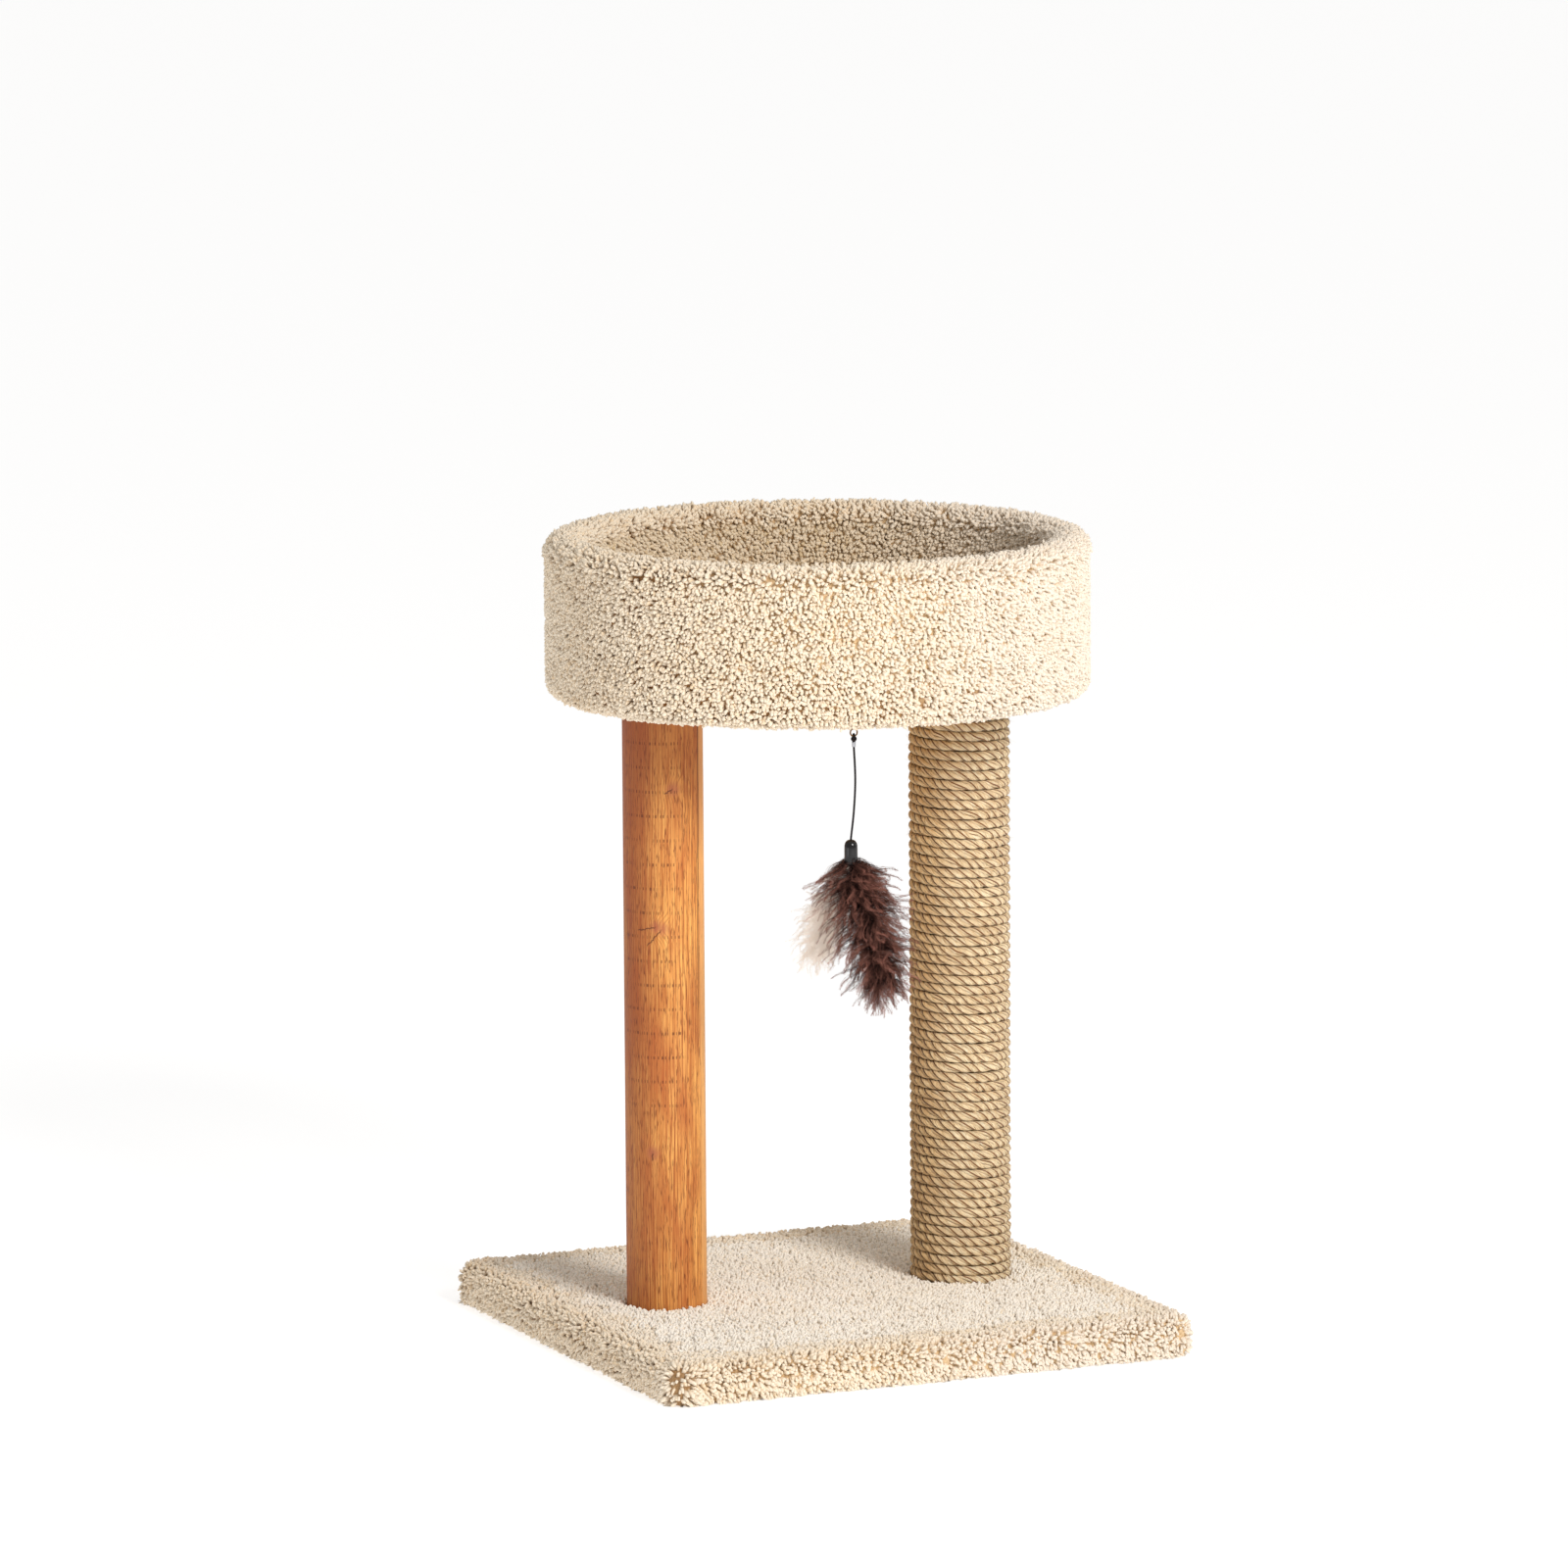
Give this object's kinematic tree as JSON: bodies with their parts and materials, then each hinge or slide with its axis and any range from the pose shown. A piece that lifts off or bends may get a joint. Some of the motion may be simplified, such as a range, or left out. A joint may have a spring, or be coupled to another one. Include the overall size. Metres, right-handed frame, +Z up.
{
  "type": "cat tree",
  "caption": "Low cat tree: square carpeted base, a wood post, a sisal scratching post, a round carpeted bed and a hanging feather toy.",
  "frame": {"origin": "on the floor under the middle of the base", "axes": "+Z up; +X from the wood post towards the sisal post; -Y is the front, where the toy hangs"},
  "size_m": [0.535, 0.542, 0.7667],
  "materials": {
    "carpet": "matte",
    "plywood": "matte",
    "stained_wood": "satin",
    "cardboard": "matte",
    "sisal": "matte",
    "steel": "satin",
    "brass": "satin",
    "bright_metal": "polished",
    "black_cord": "matte",
    "black_plastic": "gloss",
    "brown_feather": "matte",
    "cream_feather": "matte"
  },
  "bodies": {
    "root": {"base_board": "plywood", "base_carpet": "carpet", "base_staple_1": "steel", "base_staple_2": "steel", "base_staple_3": "steel", "base_staple_4": "steel", "base_staple_5": "steel", "base_staple_6": "steel", "base_staple_7": "steel", "base_staple_8": "steel", "base_screw_1": "steel", "base_screw_2": "steel", "base_screw_3": "steel", "base_screw_4": "steel", "base_screw_5": "steel", "base_screw_6": "steel", "wood_post": "stained_wood", "core_tube": "cardboard", "plug_bottom": "plywood", "plug_top": "plywood", "sisal_rope": "sisal", "tube_nail_1": "steel", "tube_nail_2": "steel", "tube_nail_3": "steel", "tube_nail_4": "steel", "rope_staple_bottom": "steel", "rope_staple_top": "steel", "bed_floor": "plywood", "bed_hoop": "plywood", "bed_wall_carpet": "carpet", "bed_floor_carpet": "carpet", "bed_screw_1": "steel", "bed_screw_2": "steel", "bed_screw_3": "steel", "bed_screw_4": "steel", "bed_screw_5": "steel", "bed_screw_6": "steel", "hoop_nail_1": "steel", "hoop_nail_2": "steel", "hoop_nail_3": "steel", "hoop_nail_4": "steel", "hoop_nail_5": "steel", "hoop_nail_6": "steel", "hoop_nail_7": "steel", "hoop_nail_8": "steel", "bed_staple_1": "steel", "bed_staple_2": "steel", "bed_staple_3": "steel", "bed_staple_4": "steel", "bed_staple_5": "steel", "bed_staple_6": "steel", "toy_screw_eye": "brass"},
    "toy_loop": {"toy_cord_loop": "black_cord"},
    "toy_crimp": {"toy_crimp": "bright_metal"},
    "toy_cord": {"toy_elastic_cord": "black_cord"},
    "toy_lure": {"toy_cap": "black_plastic", "toy_feather_brown": "brown_feather", "toy_feather_cream": "cream_feather"}
  },
  "joints": [
    {"name": "toy_swing_side", "type": "hinge", "parent": "root", "child": "toy_loop", "pos_m": [-0.059, -0.215, 0.609], "axis": [0, 1, 0], "range_deg": [-60, 60]},
    {"name": "toy_swing_front_back", "type": "hinge", "parent": "toy_loop", "child": "toy_crimp", "pos_m": [-0.059, -0.215, 0.6025], "axis": [1, 0, 0], "range_deg": [-60, 18]},
    {"name": "toy_twist", "type": "hinge", "parent": "toy_crimp", "child": "toy_cord", "pos_m": [-0.059, -0.215, 0.598], "axis": [0, 0, 1], "range_deg": [-90, 90], "stiffness_Nm_per_rad": 0.0004},
    {"name": "toy_stretch", "type": "slide", "parent": "toy_cord", "child": "toy_lure", "axis": [0, 0, -1], "range_m": [0, 0.045], "stiffness_N_per_m": 60, "deforming": ["toy_elastic_cord"]}
  ]
}
